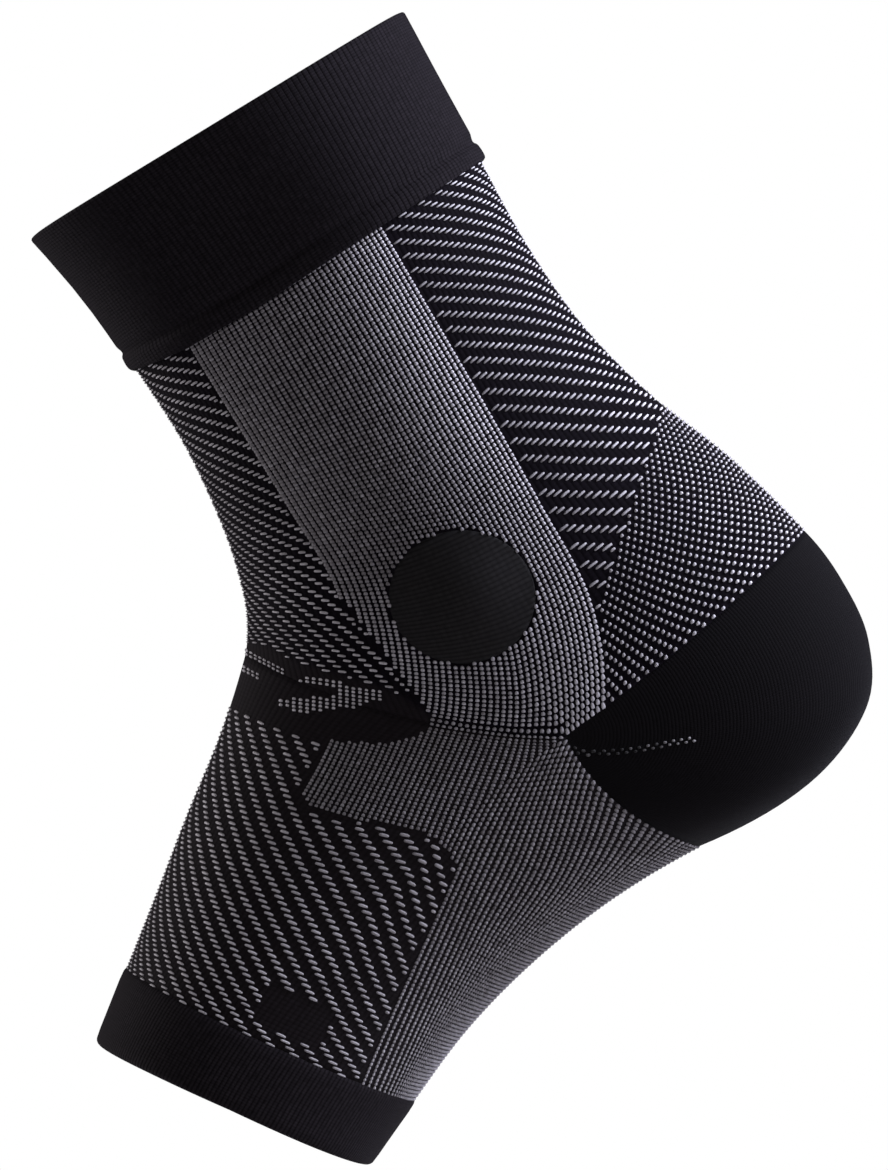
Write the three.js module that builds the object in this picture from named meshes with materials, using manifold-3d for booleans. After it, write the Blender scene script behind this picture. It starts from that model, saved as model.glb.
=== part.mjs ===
// Knitted ankle sleeve for a left foot, open at the leg and at the toes, with a knitted heel pocket.
// Millimetres, +Z up the leg, toes toward -X, outer (lateral) side toward -Y.
// The origin is the middle of the ankle, between the two ankle bones.
import * as THREE from "three";
import { mergeVertices } from "three/addons/utils/BufferGeometryUtils.js";
import Module from "manifold-3d";

// Driving dimensions, in millimetres
const WALL = 1.4;
const SEAM_GAP = 0.3;
const CUFF_PROUD = 0.8;
const CUFF_HEIGHT = 33.0;
const HEM_BEAD = 0.9;
const BAND_PROUD = 0.6;
const BAND_LENGTH = 15.4;
const PATCH_LENGTH = 29.0;
const PATCH_HEIGHT = 26.4;
const PATCH_TILT = 32;
const PLUG_START = 15;
const PLUG_REACH = 40;
const ANKLE_BONE_HEIGHT = 3.2;
const ANKLE_BONE_REACH = 13;

// Mesh fineness
const COLUMNS_PER_QUARTER = 14;
const PATCH_SIDES = 40;
const HEEL_TIP_START = 0.28;

// The sleeve is a run of closed knitted courses. Each row gives one course of the outer face:
// at: place along its section of the sleeve
// front, back: where the course crosses the middle of the shin or instep and of the Achilles or sole, [x, z]
// side: where it crosses the outer and inner flank, [x, z]
// frontSlope, backSlope: its slope at the flank, degrees, toward the front half and the back half
// lateral, medial: half widths of the outer and inner flank
// frontRound, backRound: roundness of the two halves, 2 for an ellipse, more for a boxier form
const LEG_COURSES = [
  { at: -0.34, front: [-34.5, 106.0], side: [8.4, 106.0], back: [51.4, 106.0], frontSlope: 0, backSlope: 0,
    lateral: 36.0, medial: 36.5, frontRound: 2.15, backRound: 2.1 },
  { at: -0.17, front: [-32.0, 89.8], side: [8.8, 89.8], back: [50.3, 89.8], frontSlope: 0, backSlope: 0,
    lateral: 33.8, medial: 34.2, frontRound: 2.15, backRound: 2.1 },
  { at: 0, front: [-31.1, 73.0], side: [8.9, 73.0], back: [49.4, 73.0], frontSlope: 0, backSlope: 0,
    lateral: 31.8, medial: 32.0, frontRound: 2.15, backRound: 2.05 },
  { at: 0.2, front: [-30.9, 54.6], side: [8.5, 53.0], back: [48.3, 53.4], frontSlope: -1, backSlope: -1,
    lateral: 30.0, medial: 30.2, frontRound: 2.15, backRound: 1.98 },
  { at: 0.4, front: [-33.2, 36.4], side: [7.4, 31.0], back: [49.2, 33.5], frontSlope: -3, backSlope: -3,
    lateral: 30.0, medial: 30.2, frontRound: 2.12, backRound: 1.92 },
  { at: 0.6, front: [-36.4, 24.4], side: [5.9, 9.0], back: [53.5, 14.0], frontSlope: -7, backSlope: -6,
    lateral: 31.8, medial: 32.2, frontRound: 2.08, backRound: 1.92 },
  { at: 0.8, front: [-39.2, 18.2], side: [4.1, -13.0], back: [60.1, -4.6], frontSlope: -15, backSlope: -8,
    lateral: 32.8, medial: 33.2, frontRound: 2.05, backRound: 2.0 },
  { at: 1, front: [-42.9, 13.1], side: [2.5, -34.2], back: [65.1, -25.2], frontSlope: -32, backSlope: 3,
    lateral: 32.6, medial: 32.6, frontRound: 2.05, backRound: 2.2 },
];

// The heel's own courses all start and end at the two tips on the flanks and fan round the heel.
const HEEL_COURSES = [
  { at: 0.2, back: [66.2, -37.0], backSlope: -8, backRound: 2.35 },
  { at: 0.4, back: [64.4, -50.2], backSlope: -24, backRound: 2.5 },
  { at: 0.6, back: [56.7, -61.7], backSlope: -45, backRound: 2.65 },
  { at: 0.8, back: [39.0, -68.4], backSlope: -70, backRound: 2.75 },
  { at: 1, back: [13.9, -67.4], backSlope: -95, backRound: 2.8 },
];

const FOOT_COURSES = [
  { at: 0.25, front: [-55.6, 2.2], side: [-20.0, -36.6], back: [-6.6, -67.0], frontSlope: -40, backSlope: -78,
    lateral: 33.2, medial: 33.4, frontRound: 2.05, backRound: 2.75 },
  { at: 0.5, front: [-69.3, -7.6], side: [-41.0, -42.0], back: [-26.2, -69.2], frontSlope: -48, backSlope: -66,
    lateral: 34.6, medial: 35.4, frontRound: 2.08, backRound: 2.6 },
  { at: 0.75, front: [-82.9, -17.8], side: [-60.6, -48.2], back: [-44.6, -73.6], frontSlope: -54, backSlope: -58,
    lateral: 36.8, medial: 38.6, frontRound: 2.15, backRound: 2.5 },
  { at: 1, front: [-96.2, -27.6], side: [-79.2, -54.8], back: [-61.6, -80.2], frontSlope: -56, backSlope: -56,
    lateral: 39.2, medial: 42.0, frontRound: 2.25, backRound: 2.45 },
  { at: 1.2, front: [-107.6, -36.0], side: [-92.2, -61.2], back: [-75.4, -86.0], frontSlope: -57, backSlope: -57,
    lateral: 40.6, medial: 44.0, frontRound: 2.3, backRound: 2.45 },
];

// A quarter of a course, from the middle of the front or back (t = 0) to the flank (t = 1)
class QuarterCourse extends THREE.Curve {
  constructor(side, end, slopeDegrees, towardFront, halfWidth, round) {
    super();
    const slope = THREE.MathUtils.degToRad(slopeDegrees);
    const sense = towardFront ? -1 : 1;
    this.side = new THREE.Vector2(...side);
    this.run = new THREE.Vector2(...end).sub(this.side);
    const leave = new THREE.Vector2(Math.cos(slope), Math.sin(slope)).multiplyScalar(sense * this.run.length());
    this.bend = leave.sub(this.run);
    this.halfWidth = halfWidth;
    this.power = 2 / round;
  }

  getPoint(t, target = new THREE.Vector3()) {
    const angle = (t * Math.PI) / 2;
    const along = Math.pow(Math.max(Math.cos(angle), 0), this.power);
    const across = Math.pow(Math.max(Math.sin(angle), 0), this.power);
    const bow = along * (1 - along);
    return target.set(
      this.side.x + this.run.x * along + this.bend.x * bow,
      this.halfWidth * across,
      this.side.y + this.run.y * along + this.bend.y * bow,
    );
  }
}

// One course as four quarters, walked by column: front, lateral flank, back, medial flank, front
class Course {
  constructor(row) {
    const { side, front, back, frontSlope, backSlope, lateral, medial, frontRound, backRound } = row;
    this.at = row.at;
    this.quarters = [
      new QuarterCourse(side, front, frontSlope, true, -lateral, frontRound),
      new QuarterCourse(side, back, backSlope, false, -lateral, backRound),
      new QuarterCourse(side, back, backSlope, false, medial, backRound),
      new QuarterCourse(side, front, frontSlope, true, medial, frontRound),
    ];
  }

  point(column) {
    const turn = ((column / COLUMNS_PER_QUARTER) % 4 + 4) % 4;
    const quarter = Math.floor(turn);
    const part = turn - quarter;
    const share = quarter % 2 === 0 ? part : 1 - part;
    return this.quarters[quarter].getPointAt(share);
  }
}

const lastLegCourse = LEG_COURSES[LEG_COURSES.length - 1];
const heelRows = HEEL_COURSES.map((row) => ({ ...lastLegCourse, ...row }));
const SECTIONS = {
  leg: LEG_COURSES.map((row) => new Course(row)),
  heel: [{ ...lastLegCourse, at: 0 }, ...heelRows].map((row) => new Course(row)),
  foot: [{ ...heelRows[heelRows.length - 1], at: 0 }, ...FOOT_COURSES].map((row) => new Course(row)),
};

// Slope of a smooth curve through three stations, taken at one of them
function parabolaSlope(x0, p0, x1, p1, x2, p2, x) {
  const a = p0.clone().multiplyScalar((2 * x - x1 - x2) / ((x0 - x1) * (x0 - x2)));
  const b = p1.clone().multiplyScalar((2 * x - x0 - x2) / ((x1 - x0) * (x1 - x2)));
  const c = p2.clone().multiplyScalar((2 * x - x0 - x1) / ((x2 - x0) * (x2 - x1)));
  return a.add(b).add(c);
}

// A wale: the smooth line that one column of stitches follows through the courses of its section
class Wale {
  constructor(section, column) {
    this.stations = section.map((course) => course.at);
    this.points = section.map((course) => course.point(column));
    const last = this.points.length - 1;
    this.slopes = this.points.map((point, i) => {
      const mid = THREE.MathUtils.clamp(i, 1, last - 1);
      return parabolaSlope(
        this.stations[mid - 1], this.points[mid - 1],
        this.stations[mid], this.points[mid],
        this.stations[mid + 1], this.points[mid + 1],
        this.stations[i],
      );
    });
  }

  point(at) {
    let i = 0;
    while (i < this.stations.length - 2 && at > this.stations[i + 1]) {
      i += 1;
    }
    const span = this.stations[i + 1] - this.stations[i];
    const t = (at - this.stations[i]) / span;
    const t2 = t * t;
    const t3 = t2 * t;
    return new THREE.Vector3()
      .addScaledVector(this.points[i], 2 * t3 - 3 * t2 + 1)
      .addScaledVector(this.slopes[i], (t3 - 2 * t2 + t) * span)
      .addScaledVector(this.points[i + 1], 3 * t2 - 2 * t3)
      .addScaledVector(this.slopes[i + 1], (t3 - t2) * span);
  }
}

const wales = new Map();

function waleOf(sectionName, column) {
  const key = sectionName + " " + column.toFixed(3);
  if (!wales.has(key)) {
    wales.set(key, new Wale(SECTIONS[sectionName], column));
  }
  return wales.get(key);
}

// The outer face of the body knit, with the swell over the two ankle bones
function facePoint(sectionName, at, column) {
  const point = waleOf(sectionName, column).point(at);
  const away = Math.hypot(point.x, point.z) / ANKLE_BONE_REACH;
  point.y += Math.sign(point.y) * ANKLE_BONE_HEIGHT * Math.exp(-away * away);
  return point;
}

function faceNormal(sectionName, at, column) {
  const step = 0.003;
  const turn = 0.12;
  const along = facePoint(sectionName, at + step, column).sub(facePoint(sectionName, at - step, column));
  const around = facePoint(sectionName, at, column + turn).sub(facePoint(sectionName, at, column - turn));
  return along.cross(around).normalize();
}

// A point held off the outer face by a distance, and moved along its wale by a length in millimetres
function knitPoint(sectionName, at, column, shift, offset) {
  const step = 0.01;
  const pace = facePoint(sectionName, at + step, column).distanceTo(facePoint(sectionName, at - step, column));
  const place = at + (shift * 2 * step) / pace;
  const normal = faceNormal(sectionName, place, column);
  return facePoint(sectionName, place, column).addScaledVector(normal, offset);
}

// Skins a run of equal outlines into one closed solid. A closed run is a ring, an open run gets two end caps.
function skin(outlines, ring) {
  const count = outlines[0].length;
  const positions = [];
  const put = (...points) => points.forEach((p) => positions.push(p.x, p.y, p.z));
  const runs = ring ? outlines.length : outlines.length - 1;
  for (let i = 0; i < runs; i += 1) {
    const here = outlines[i];
    const next = outlines[(i + 1) % outlines.length];
    for (let k = 0; k < count; k += 1) {
      const m = (k + 1) % count;
      put(here[k], next[k], next[m]);
      put(here[k], next[m], here[m]);
    }
  }
  if (!ring) {
    const first = outlines[0];
    const last = outlines[outlines.length - 1];
    for (let k = 0; k < count / 2 - 1; k += 1) {
      const back = count - 1 - k;
      put(first[k], first[k + 1], first[back - 1]);
      put(first[k], first[back - 1], first[back]);
      put(last[k], last[back - 1], last[k + 1]);
      put(last[k], last[back], last[back - 1]);
    }
  }
  const geometry = new THREE.BufferGeometry();
  geometry.setAttribute("position", new THREE.Float32BufferAttribute(positions, 3));
  return mergeVertices(geometry, 1e-4);
}

const RING_COLUMNS = Array.from({ length: 4 * COLUMNS_PER_QUARTER }, (_, i) => i);
const HEEL_COLUMNS = [
  COLUMNS_PER_QUARTER + HEEL_TIP_START,
  COLUMNS_PER_QUARTER + 0.6,
  ...Array.from({ length: 2 * COLUMNS_PER_QUARTER - 1 }, (_, i) => COLUMNS_PER_QUARTER + 1 + i),
  3 * COLUMNS_PER_QUARTER - 0.6,
  3 * COLUMNS_PER_QUARTER - HEEL_TIP_START,
];

// A wall of even thickness between two courses, set back from both by half the seam gap
function knitWall(sectionName, from, to, rows, columns, ring) {
  const places = Array.from({ length: rows + 1 }, (_, i) => {
    const inset = i === 0 ? SEAM_GAP / 2 : i === rows ? -SEAM_GAP / 2 : 0;
    return { at: from + ((to - from) * i) / rows, inset };
  });
  const outlines = columns.map((column) => {
    const outer = places.map((p) => knitPoint(sectionName, p.at, column, p.inset, 0));
    const inner = places.map((p) => knitPoint(sectionName, p.at, column, p.inset, -WALL));
    return [...outer, ...inner.reverse()];
  });
  return skin(outlines, ring);
}

// A turned welt: a profile of [distance from its knitted edge, height over the body face], all the way round
function welt(sectionName, at, direction, profile) {
  const outlines = RING_COLUMNS.map((column) =>
    profile.map(([distance, offset]) => knitPoint(sectionName, at, column, direction * distance, offset)),
  );
  return skin(outlines, true);
}

const CUFF_PROFILE = [
  [SEAM_GAP / 2, CUFF_PROUD],
  [0.6, CUFF_PROUD + 0.9 * HEM_BEAD],
  [1.5, CUFF_PROUD + HEM_BEAD],
  [2.8, CUFF_PROUD + 0.4 * HEM_BEAD],
  [4.4, CUFF_PROUD],
  [0.5 * CUFF_HEIGHT, CUFF_PROUD],
  [CUFF_HEIGHT - 1.3, CUFF_PROUD],
  [CUFF_HEIGHT - 0.4, 0.45 * CUFF_PROUD],
  [CUFF_HEIGHT, -0.35],
  [CUFF_HEIGHT - 0.4, -0.75 * WALL],
  [CUFF_HEIGHT - 1.3, -WALL],
  [0.5 * CUFF_HEIGHT, -WALL],
  [SEAM_GAP / 2, -WALL],
];

const BAND_PROFILE = [
  [SEAM_GAP / 2, 0.1],
  [0.8, BAND_PROUD],
  [0.5 * BAND_LENGTH, BAND_PROUD],
  [BAND_LENGTH - 1.1, BAND_PROUD],
  [BAND_LENGTH - 0.3, 0.4 * BAND_PROUD],
  [BAND_LENGTH, -0.4],
  [BAND_LENGTH - 0.3, -0.75 * WALL],
  [BAND_LENGTH - 1.1, -WALL],
  [0.5 * BAND_LENGTH, -WALL],
  [SEAM_GAP / 2, -WALL],
];

// Cutting: the round ankle patches are set into the leg tube
const wasm = await Module();
wasm.setup();

function solidOf(geometry) {
  const plain = new THREE.BufferGeometry().setAttribute("position", geometry.getAttribute("position"));
  plain.setIndex(geometry.getIndex());
  const merged = mergeVertices(plain, 1e-4);
  const mesh = new wasm.Mesh({
    numProp: 3,
    vertProperties: new Float32Array(merged.getAttribute("position").array),
    triVerts: new Uint32Array(merged.getIndex().array),
  });
  const solid = new wasm.Manifold(mesh);
  return solid.volume() < 0 ? facingOut(mesh) : solid;
}

function facingOut(mesh) {
  const turned = mesh.triVerts.slice();
  for (let i = 0; i < turned.length; i += 3) {
    turned[i + 1] = mesh.triVerts[i + 2];
    turned[i + 2] = mesh.triVerts[i + 1];
  }
  return new wasm.Manifold(new wasm.Mesh({ numProp: 3, vertProperties: mesh.vertProperties, triVerts: turned }));
}

function geometryOf(solid) {
  const mesh = solid.getMesh();
  const geometry = new THREE.BufferGeometry();
  geometry.setAttribute("position", new THREE.BufferAttribute(mesh.vertProperties, 3));
  geometry.setIndex(new THREE.BufferAttribute(mesh.triVerts, 1));
  return geometry;
}

// A round plug along Y through one flank of the leg tube
function patchPlug(sense, clearance) {
  const plug = new THREE.CylinderGeometry(1, 1, PLUG_REACH, PATCH_SIDES);
  plug.scale(PATCH_LENGTH / 2 - clearance, 1, PATCH_HEIGHT / 2 - clearance);
  plug.rotateY(THREE.MathUtils.degToRad(PATCH_TILT));
  plug.translate(0, sense * (PLUG_START + PLUG_REACH / 2), 0);
  return solidOf(plug);
}

const wholeLeg = solidOf(knitWall("leg", 0, 1, 13, RING_COLUMNS, true));
const lateralPatch = wholeLeg.intersect(patchPlug(-1, SEAM_GAP));
const medialPatch = wholeLeg.intersect(patchPlug(1, SEAM_GAP));
const legTube = wholeLeg.subtract(patchPlug(-1, 0)).subtract(patchPlug(1, 0));

const NODES = [
  { name: "top_cuff", solid: solidOf(welt("leg", 0, -1, CUFF_PROFILE)), colour: 0x1b1a1f },
  { name: "leg_tube", solid: legTube, colour: 0x55545a },
  { name: "ankle_patch_lateral", solid: lateralPatch, colour: 0x161518 },
  { name: "ankle_patch_medial", solid: medialPatch, colour: 0x161518 },
  { name: "heel_pocket", solid: solidOf(knitWall("heel", 0, 1, 10, HEEL_COLUMNS, false)), colour: 0x19181c },
  { name: "foot_tube", solid: solidOf(knitWall("foot", 0, 1, 11, RING_COLUMNS, true)), colour: 0x5c5b62 },
  { name: "toe_band", solid: solidOf(welt("foot", 1, 1, BAND_PROFILE)), colour: 0x18171b },
];

const sleeve = new THREE.Group();
sleeve.name = "ankle_sleeve";
for (const { name, solid, colour } of NODES) {
  const material = new THREE.MeshStandardMaterial({ color: colour, roughness: 0.95, metalness: 0 });
  const mesh = new THREE.Mesh(geometryOf(solid), material);
  mesh.name = name;
  sleeve.add(mesh);
}

export default sleeve;
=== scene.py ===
"""Looks of a knitted ankle sleeve for a left foot.

Fine knitted shells stand for the CAD walls, and every grey stitch is its own loop of yarn on them.
The tables are in millimetres: +Z up the leg, toes toward -X, outer (lateral) side toward -Y.
"""
import math
from collections import namedtuple

import bpy
import numpy as np
from mathutils import Matrix, Vector


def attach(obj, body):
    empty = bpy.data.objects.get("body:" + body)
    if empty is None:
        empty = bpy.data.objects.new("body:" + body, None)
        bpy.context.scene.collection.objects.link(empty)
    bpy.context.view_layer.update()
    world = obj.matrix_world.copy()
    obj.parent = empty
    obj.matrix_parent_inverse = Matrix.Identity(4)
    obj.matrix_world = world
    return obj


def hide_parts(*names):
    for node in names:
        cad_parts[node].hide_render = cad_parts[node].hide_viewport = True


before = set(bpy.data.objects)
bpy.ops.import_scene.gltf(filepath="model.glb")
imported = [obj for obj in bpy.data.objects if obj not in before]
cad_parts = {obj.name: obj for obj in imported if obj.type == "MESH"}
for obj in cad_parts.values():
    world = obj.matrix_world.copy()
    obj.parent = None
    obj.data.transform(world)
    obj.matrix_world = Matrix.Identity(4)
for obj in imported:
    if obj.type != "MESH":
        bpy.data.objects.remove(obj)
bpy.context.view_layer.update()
rng = np.random.default_rng(11)
MM = 0.001

# Driving dimensions, as in the CAD model
WALL = 1.4
CUFF_PROUD = 0.8
CUFF_HEIGHT = 33.0
BAND_PROUD = 0.6
BAND_LENGTH = 15.4
PATCH_LENGTH = 29.0
PATCH_HEIGHT = 26.4
PATCH_TILT = math.radians(32)
PLUG_START = 15
PLUG_REACH = 40
ANKLE_BONE_HEIGHT = 3.2
ANKLE_BONE_REACH = 13

# Finer dimensions of the shells: laps, the rolled hem and how far it hangs by quarter turns, and ribs
PATCH_GAP = 0.03
PATCH_SIDES = 96
SEAM_LAP = 0.5
CUFF_LAP = 2.0
HEEL_TIP_START = 0.003
HEM_BEAD = 0.45
HEM_GROOVE = 0.35
HEM_DROP = [(0, -1.3), (0.47, 1.9), (0.8, 2.7), (1.29, 1.9), (1.6, 1.4), (2, 0.5)]
HEM_DROP_REACH = 12
NO_DROP = [(0, 0)]
CUFF_RIBS, CUFF_RIB_DEPTH = 195, 0.07
BAND_RIBS, BAND_RIB_DEPTH = 254, 0.02
RIB_FADE_START, RIB_FADE = -0.2, 0.6
WELT_COURSE = 0.62
RING_STEPS = 256
COURSE_SAMPLES = 1500
LEG_ROWS, FOOT_ROWS, HEEL_ROWS = 54, 44, 46
HEEL_COLUMNS = 320
OUTER_ROWS_PER_INNER = 4
CORNER_CUT = 0.25
HEEL_WALES, HEEL_STITCH_COURSES = 440, 110

# The picture: a long lens square to the outer side, rolled so that the leg leans back
VIEW_DISTANCE = 2500
VIEW_ROLL = math.radians(32)
VIEW_CENTRE = (-1.8, 3.9)
PICTURE_HEIGHT = 234
ANKLE_IN_PICTURE = (-3.6, 2.4)

# Courses of the sleeve, as in the CAD model: places in [x, z], slopes in degrees, half widths, roundness
Course = namedtuple(
    "Course", "at front side back front_slope back_slope lateral medial front_round back_round"
)
LEG_COURSES = [
    Course(-0.34, (-34.5, 106.0), (8.4, 106.0), (51.4, 106.0), 0, 0, 36.0, 36.5, 2.15, 2.10),
    Course(-0.17, (-32.0, 89.8), (8.8, 89.8), (50.3, 89.8), 0, 0, 33.8, 34.2, 2.15, 2.10),
    Course(0.0, (-31.1, 73.0), (8.9, 73.0), (49.4, 73.0), 0, 0, 31.8, 32.0, 2.15, 2.05),
    Course(0.2, (-30.9, 54.6), (8.5, 53.0), (48.3, 53.4), -1, -1, 30.0, 30.2, 2.15, 1.98),
    Course(0.4, (-33.2, 36.4), (7.4, 31.0), (49.2, 33.5), -3, -3, 30.0, 30.2, 2.12, 1.92),
    Course(0.6, (-36.4, 24.4), (5.9, 9.0), (53.5, 14.0), -7, -6, 31.8, 32.2, 2.08, 1.92),
    Course(0.8, (-39.2, 18.2), (4.1, -13.0), (60.1, -4.6), -15, -8, 32.8, 33.2, 2.05, 2.00),
    Course(1.0, (-42.9, 13.1), (2.5, -34.2), (65.1, -25.2), -32, 3, 32.6, 32.6, 2.05, 2.20),
]
LAST_LEG = LEG_COURSES[-1]
HEEL_FAN = [
    (0.0, LAST_LEG.back, LAST_LEG.back_slope, LAST_LEG.back_round),
    (0.2, (66.2, -37.0), -8, 2.35),
    (0.4, (64.4, -50.2), -24, 2.50),
    (0.6, (56.7, -61.7), -45, 2.65),
    (0.8, (39.0, -68.4), -70, 2.75),
    (1.0, (13.9, -67.4), -95, 2.80),
]
HEEL_COURSES = [
    LAST_LEG._replace(at=at, back=back, back_slope=slope, back_round=roundness)
    for at, back, slope, roundness in HEEL_FAN
]
FOOT_COURSES = [
    HEEL_COURSES[-1]._replace(at=0.0),
    Course(0.25, (-55.6, 2.2), (-20.0, -36.6), (-6.6, -67.0), -40, -78, 33.2, 33.4, 2.05, 2.75),
    Course(0.50, (-69.3, -7.6), (-41.0, -42.0), (-26.2, -69.2), -48, -66, 34.6, 35.4, 2.08, 2.60),
    Course(0.75, (-82.9, -17.8), (-60.6, -48.2), (-44.6, -73.6), -54, -58, 36.8, 38.6, 2.15, 2.50),
    Course(1.0, (-96.2, -27.6), (-79.2, -54.8), (-61.6, -80.2), -56, -56, 39.2, 42.0, 2.25, 2.45),
    Course(1.2, (-107.6, -36.0), (-92.2, -61.2), (-75.4, -86.0), -57, -57, 40.6, 44.0, 2.30, 2.45),
]

# Wales that bound the knitted panels, and their quarter turns: 0 is the front, 1 the flank and 2 the back
LEG_WALES = 192
LEG_STITCH_COURSES = 112
COURSES_UNDER_CUFF = 2
CUFF_CROWDING = 0.16
SHIN_CROWDING = 0.5
CROWDING_COURSE = 0.4
BACK_RISE, BACK_RISE_FROM, BACK_RISE_END = 0.2, 1.25, 0.8
STRAP_FRONT, LEG_TIP_WALE, STRAP_BACK = 20, 52, 60
LEG_WALE_KNOTS = (0, STRAP_FRONT, LEG_TIP_WALE, STRAP_BACK, LEG_WALES // 2)
LEG_WALE_TURNS = [
    (0.0, (0, 0.474, 1.137, 1.293, 2)),
    (0.2, (0, 0.460, 1.146, 1.304, 2)),
    (0.4, (0, 0.491, 1.146, 1.305, 2)),
    (0.6, (0, 0.540, 1.146, 1.279, 2)),
    (0.8, (0, 0.512, 1.112, 1.244, 2)),
    (1.0, (0, 0.432, 1.000, 1.128, 2)),
]
SEAM_ROW = 0.15
DOT_WALES = 106
REAR_WALES = 64
FRONT_STITCH_COURSES = 100
FRONT_BACK = STRAP_BACK - 10
FRONT_SQUEEZE, FRONT_SQUEEZE_COURSES = 0.25, (10, 60)
FRONT_OPENING = 0.0012
FRONT_STEEPEST = -0.12
FOOT_WALES = 196
FOOT_STITCH_COURSES = 88
TONGUE_FRONT, INSTEP_EDGE, FOOT_TIP_WALE = 29, 58, 66
FOOT_WALE_KNOTS = (0, TONGUE_FRONT, INSTEP_EDGE, FOOT_TIP_WALE, FOOT_WALES // 2)
INSTEP_COURSES = 73
INSTEP_CROWDING = 0.18
INSTEP_SQUEEZE, INSTEP_SQUEEZE_SPAN = 0.04, (0.45, 0.9)
INSTEP_STEEPEST = -0.5
INSTEP_MARGIN = 0.4
FOOT_WALE_TURNS = [
    (0.0, (0, 0.432, 0.876, 1.000, 2)),
    (0.25, (0, 0.511, 1.036, 1.222, 2)),
    (0.5, (0, 0.558, 1.166, 1.345, 2)),
    (0.75, (0, 0.613, 1.269, 1.465, 2)),
    (1.0, (0, 0.675, 1.362, 1.585, 2)),
]

# Edges of the panels that cut across the wales, in the picture: millimetres right and up of the ankle
FLEX_BACK = -6.2
FLEX_TOP = [
    (-47, -8.2), (-39.4, -9.8), (-32.4, -13.2), (-23.4, -15.8), (-13.4, -19.0), (FLEX_BACK, -23.8),
]
FLEX_END = [
    (-48, -20.4), (-43.4, -23.0), (-33.8, -26.8), (-29.0, -28.6), (-14.4, -29.4), (-8.0, -27.2),
    (FLEX_BACK, -23.8),
]
TONGUE_END = [
    (-31.8, -40.0), (-30.4, -42.2), (-20.4, -44.4), (-8.0, -46.8), (-3.4, -49.8), (-0.8, -54.8), (0, -90),
]
TONGUE_MARGIN_WALES, TONGUE_MARGIN = 1, 0.9
STRAP_STEP_TOP = -0.6
STRAP_STEP = [(-23.6, -6.4), (STRAP_STEP_TOP, -23.4)]  # up, then right
STRAP_STEP_MARGIN = 0.8
DOTS_EDGE = [(-0.6, 27.6), (38.4, 40.6)]  # up, then right
UPPER_DART_TOP = [(-32.5, -16.1), (-29.9, -16.1), (-24.6, -17.0), (-15.4, -18.8)]
UPPER_DART_END = [(-32.5, -17.1), (-25.4, -18.3), (-24.6, -22.4), (-21.5, -22.2), (-15.4, -20.2)]
LOWER_DART_TOP = [(-37.1, -20.7), (-35.0, -20.2), (-24.6, -19.9)]
LOWER_DART_END = [(-37.1, -21.5), (-31.4, -23.6), (-28.9, -22.9), (-24.6, -22.4)]
DART_STITCH, DART_ROW = 1.32, 0.76
DART_SLOPE = math.radians(8)
DART_ORIGIN = (-27, -19)
DART_ROWS, DART_COLUMNS = slice(-14, 14), slice(-12, 14)
SHIN_LINES = [((-44.0, -10.6), (-35.6, -15.0)), ((-44.5, -13.9), (-40.1, -16.2))]
SHIN_STITCH, SHIN_ROW = 0.9, 0.75

# A bare place on the instep, in wales and along the foot, and the heel's gore, in turns and along the heel
BARE_WALES = (39.5, 49.5)
BARE_COURSES = (0.845, 0.955)
HEEL_GORE = [(1.05, 0.93), (1.10, 0.708), (1.147, 0.642), (1.214, 0.585), (1.261, 0.56), (1.325, 0.548)]
GORE_STITCH, GORE_ROW = 0.010, 0.35

# Tones of the yarns from nought, dark, to one, light: by up, by right and by both in the picture. Tones
# that run by place in the picture are painted light and shade; single tones are the yarns' own.
# Painted light and shade on the front floats, by up in the picture.
FRONT_PAINTED_LIGHT = [(0, 0.25), (16, 0.08), (40, 0.24)]
# Painted light on the instep floats, lightest at the front edge, toward the left softbox.
INSTEP_PAINTED_LIGHT = [(-50, 0.44), (-15, 0.13)]
# Painted light on the rear floats and the Achilles dots, lightest toward the right softbox and the top.
REAR_PAINTED_LIGHT = [(36, 0.20), (41, 0.37), (53, 0.55), (60, 0.92), (67, 1.0)]
REAR_PAINTED_LIGHT_RISE = 0.7
SEAM_TONE, DART_TONE, SHIN_TONE = 0.25, 0.42, 0.33
FLEX_TONE_TOP, FLEX_TONE_BACK = (-1, 1), (3, 6)


# Surface

def quarter_course(side, end, slope_degrees, sense, half_width, roundness):
    """Points of a quarter course, evenly spaced from the middle of the front or back to the flank."""
    side = np.array(side)
    run = np.array(end) - side
    slope = math.radians(slope_degrees)
    bend = sense * np.hypot(*run) * np.array([math.cos(slope), math.sin(slope)]) - run
    angle = np.linspace(0, math.pi / 2, COURSE_SAMPLES)
    along = np.cos(angle).clip(0) ** (2 / roundness)
    across = np.sin(angle) ** (2 / roundness)
    plane = side + np.outer(along, run) + np.outer(along * (1 - along), bend)
    points = np.column_stack([plane[:, 0], half_width * across, plane[:, 1]])
    length = np.r_[0, np.cumsum(np.linalg.norm(np.diff(points, axis=0), axis=1))]
    even = np.linspace(0, length[-1], RING_STEPS + 1)
    return np.column_stack([np.interp(even, length, points[:, k]) for k in range(3)])


def ring(course):
    """A whole course from the front by the outer flank, the back and the inner flank."""
    front = (course.side, course.front, course.front_slope, -1)
    back = (course.side, course.back, course.back_slope, 1)
    return np.concatenate([
        quarter_course(*front, -course.lateral, course.front_round)[:-1],
        quarter_course(*back, -course.lateral, course.back_round)[::-1][:-1],
        quarter_course(*back, course.medial, course.back_round)[:-1],
        quarter_course(*front, course.medial, course.front_round)[::-1][:-1],
    ])


def cubic(t, span, start, start_slope, end, end_slope):
    """A curve from start to end with these slopes, at a share t of its span."""
    return (
        start * (2 * t ** 3 - 3 * t ** 2 + 1)
        + start_slope * (t ** 3 - 2 * t ** 2 + t) * span
        + end * (3 * t ** 2 - 2 * t ** 3)
        + end_slope * (t ** 3 - t ** 2) * span
    )


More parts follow.
